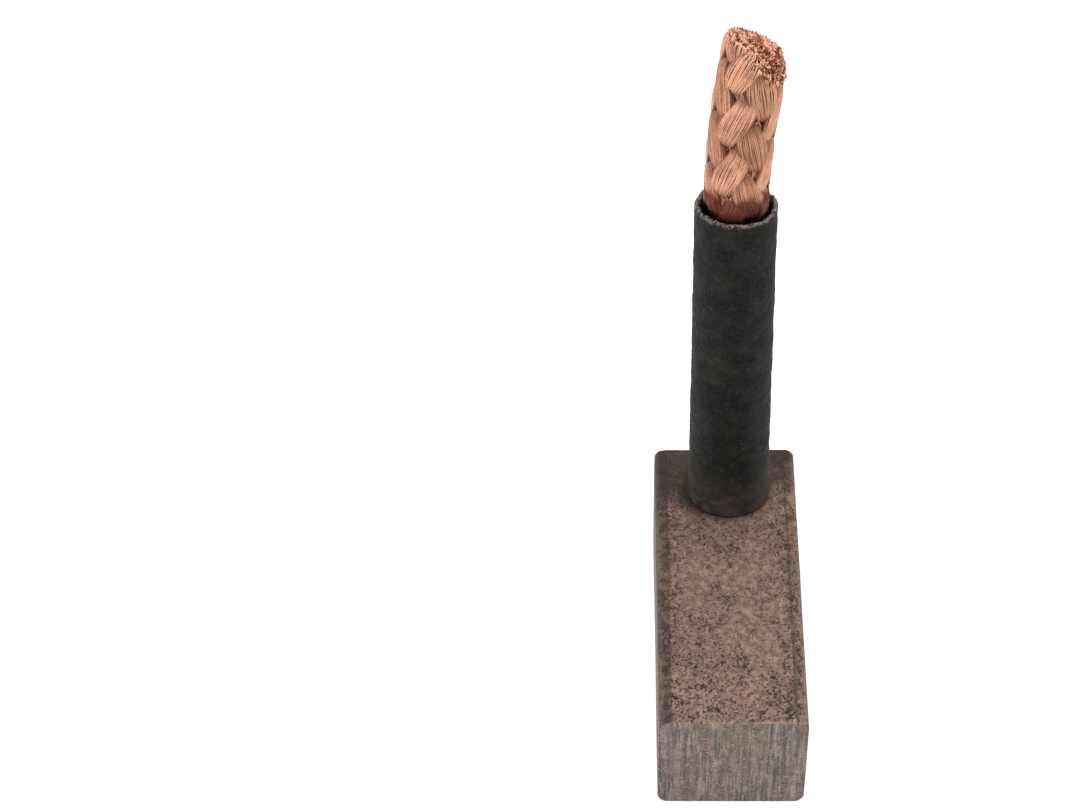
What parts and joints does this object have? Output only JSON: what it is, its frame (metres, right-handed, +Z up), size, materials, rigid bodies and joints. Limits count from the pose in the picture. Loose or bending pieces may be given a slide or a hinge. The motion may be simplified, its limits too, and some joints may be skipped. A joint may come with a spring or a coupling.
{
  "type": "carbon brush",
  "caption": "Rectangular copper-graphite carbon brush with a flat contact face and a braided copper lead rising through a dark insulating sleeve to a bare, obliquely cut end.",
  "frame": {"origin": "middle of the block's large resting face", "axes": "+Z up along the lead, out of the face that carries it; +X across the block's width; -Y out of the contact face, with the lead near the +Y end"},
  "size_m": [0.009, 0.022, 0.0462],
  "materials": {
    "copper_graphite": "matte, mottled brown copper-graphite with dark rounded edges",
    "tamping_powder": "dark grey, pressed powder",
    "sleeve_fabric": "matte black woven tubing",
    "bare_copper": "bare fine copper wire, bright and salmon-coloured"
  },
  "bodies": {
    "root": {"carbon_block": "copper_graphite", "tamped_plug": "tamping_powder", "insulating_sleeve": "sleeve_fabric", "braid_strand_01": "bare_copper", "braid_strand_02": "bare_copper", "braid_strand_03": "bare_copper", "braid_strand_04": "bare_copper", "braid_strand_05": "bare_copper", "braid_strand_06": "bare_copper", "braid_strand_07": "bare_copper", "braid_strand_08": "bare_copper", "braid_strand_09": "bare_copper", "braid_strand_10": "bare_copper", "braid_strand_11": "bare_copper", "braid_strand_12": "bare_copper", "braid_strand_13": "bare_copper", "braid_strand_14": "bare_copper", "braid_strand_15": "bare_copper", "braid_strand_16": "bare_copper"}
  },
  "joints": []
}
